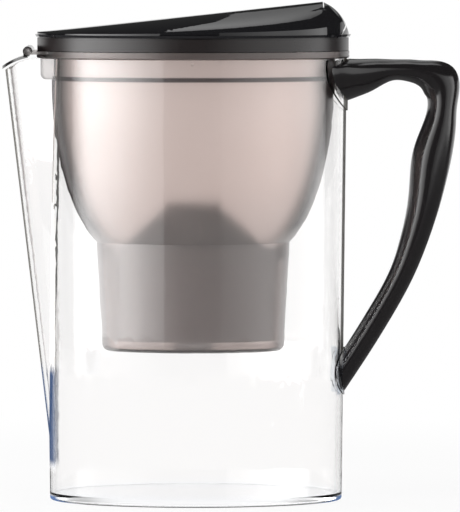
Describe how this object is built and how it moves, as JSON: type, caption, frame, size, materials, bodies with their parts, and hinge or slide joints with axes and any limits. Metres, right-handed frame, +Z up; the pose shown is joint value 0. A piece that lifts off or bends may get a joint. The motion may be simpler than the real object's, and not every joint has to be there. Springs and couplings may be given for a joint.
{
  "type": "water filter pitcher",
  "caption": "Clear oval jug with a beak spout and bow handle, holding a smoky funnel with a filter cartridge under a sloping black lid; spout and fill openings have hinged flaps.",
  "frame": {"origin": "centre of the jug's flat base, on the surface that it stands on", "axes": "+Z up, +X from the spout to the handle, +Y across the oval"},
  "size_m": [0.24, 0.1214, 0.2616],
  "materials": {
    "clear_plastic": "clear, polished",
    "black_gloss": "high gloss",
    "smoky_plastic": "smoky, translucent",
    "black_flap": "gloss",
    "black_satin": "satin",
    "cover_gloss": "high gloss",
    "cover_flap": "high gloss",
    "pin_steel": "bright drawn",
    "spring_steel": "cold rolled",
    "cartridge_shell": "matt",
    "cartridge_top": "matt",
    "seal_rubber": "matt",
    "granulate": "grainy",
    "upper_fleece": "non-woven",
    "lower_fleece": "non-woven"
  },
  "bodies": {
    "jug": {"jug": "clear_plastic", "handle": "black_gloss"},
    "funnel": {"funnel": "smoky_plastic"},
    "spout_flap": {"spout_flap": "black_flap"},
    "lid": {"lid_ring": "black_satin", "lid_cover": "cover_gloss", "fill_flap_pin": "pin_steel", "fill_flap_spring": "spring_steel"},
    "fill_flap": {"fill_flap": "cover_flap"},
    "cartridge": {"cartridge_cup": "cartridge_shell", "cartridge_cap": "cartridge_top", "cartridge_seal": "seal_rubber", "filter_media": "granulate", "inlet_fleece": "upper_fleece", "outlet_fleece": "lower_fleece"}
  },
  "joints": [
    {"name": "funnel_lift", "type": "slide", "parent": "jug", "child": "funnel", "axis": [0, 0, 1], "range_m": [0, 0.17]},
    {"name": "lid_lift", "type": "slide", "parent": "funnel", "child": "lid", "axis": [0, 0, 1], "range_m": [0, 0.08]},
    {"name": "cartridge_lift", "type": "slide", "parent": "funnel", "child": "cartridge", "axis": [0, 0, 1], "range_m": [0, 0.065]},
    {"name": "spout_flap_hinge", "type": "hinge", "parent": "funnel", "child": "spout_flap", "pos_m": [-0.0876, 0, 0.236], "axis": [0, 1, 0], "range_deg": [0, 90]},
    {"name": "fill_flap_hinge", "type": "hinge", "parent": "lid", "child": "fill_flap", "pos_m": [0.0659, 0, 0.254], "axis": [0, 1, 0], "range_deg": [0, 38], "stiffness_Nm_per_rad": 0.004, "springref_deg": -20.05, "deforming": ["fill_flap_spring"]}
  ]
}
